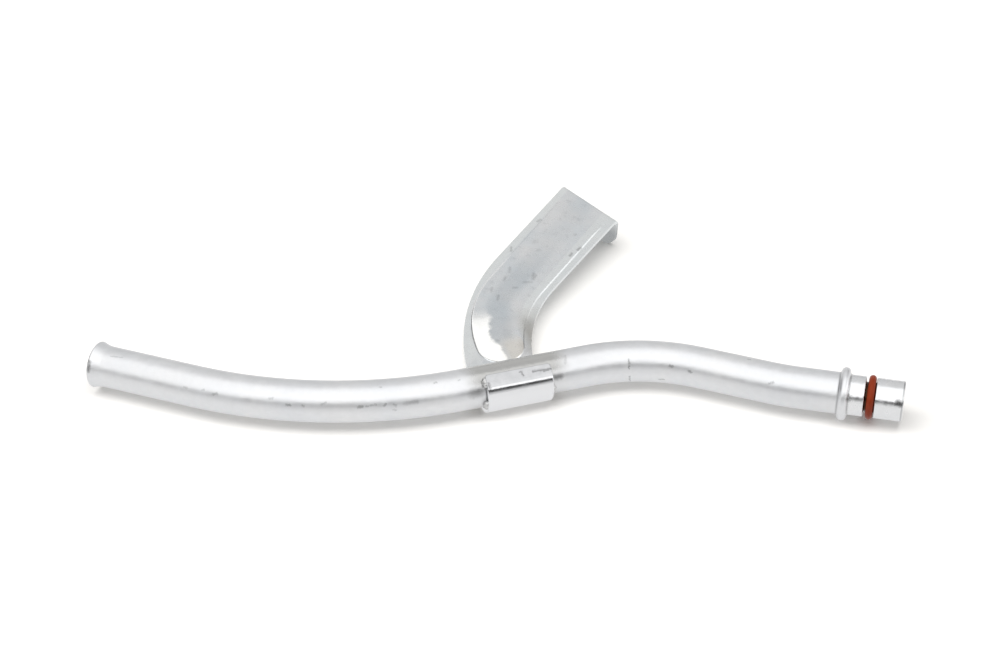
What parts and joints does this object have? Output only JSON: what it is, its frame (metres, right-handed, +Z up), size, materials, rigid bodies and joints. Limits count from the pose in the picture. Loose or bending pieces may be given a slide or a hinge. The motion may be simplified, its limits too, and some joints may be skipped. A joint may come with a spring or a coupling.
{
  "type": "dipstick tube",
  "caption": "Bent steel dipstick guide tube with a flared mouth, a spigot with a stop bead and sealing ring, and a tack-welded sheet bracket with a folded bolt lug.",
  "frame": {"origin": "on the spigot's axis at the outboard end of the stop bead, where the tube seats on the engine block", "axes": "+X out along the spigot, away from the tube; +Z up as the part lies, square to the plane of the tube's bends; +Y towards the side that the bracket's arm reaches to"},
  "size_m": [0.2298, 0.1287, 0.0152],
  "materials": {
    "tube_zinc": "bright zinc-plated steel tube, satin, with light scuffs",
    "bracket_zinc": "zinc-plated pressed sheet, smooth and bluish, with faint dark marks",
    "weld": "small plated weld tacks, slightly rough",
    "ring_rubber": "brown-red sealing rubber, satin"
  },
  "bodies": {
    "root": {"guide_tube": "tube_zinc", "support_bracket": "bracket_zinc", "o_ring": "ring_rubber", "weld_tacks": "weld"}
  },
  "joints": []
}
